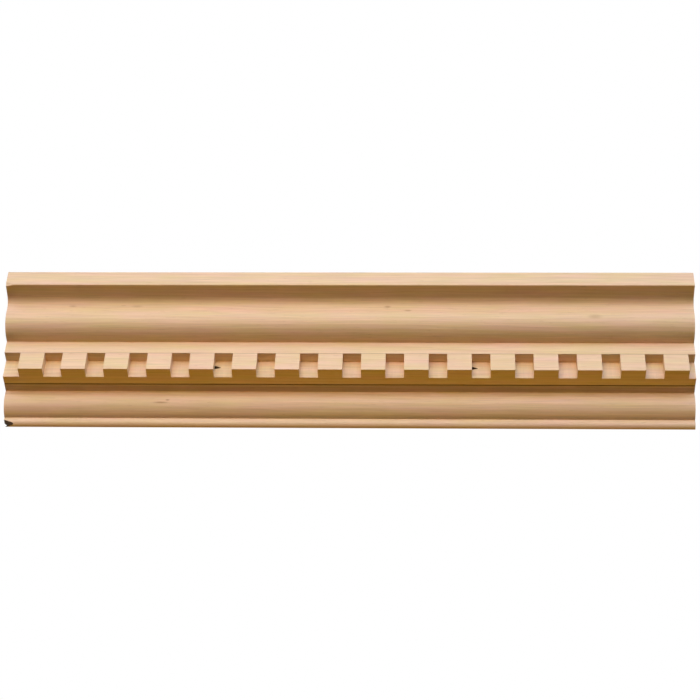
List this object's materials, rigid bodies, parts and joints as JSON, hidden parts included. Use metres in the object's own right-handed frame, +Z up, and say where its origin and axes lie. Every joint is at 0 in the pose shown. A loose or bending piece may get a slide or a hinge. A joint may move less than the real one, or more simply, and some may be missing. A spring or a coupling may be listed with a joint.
{
  "type": "dentil crown moulding",
  "caption": "Straight length of softwood crown moulding with a cove, ovolo, row of square dentils and rounded nosing, sprung between wall and ceiling.",
  "frame": {"origin": "middle of the flat that lies against the wall, at mid length", "axes": "+X along the moulding, +Y into the wall, +Z up to the ceiling; the worked face looks along -Y and down"},
  "size_m": [0.403, 0.0567, 0.0727],
  "materials": {
    "board": "unfinished softwood, machined smooth, with fine lengthwise grain",
    "strip": "unfinished softwood, sawn across between the dentils"
  },
  "bodies": {
    "root": {"crown_moulding": "board", "dentil_strip": "strip"}
  },
  "joints": []
}
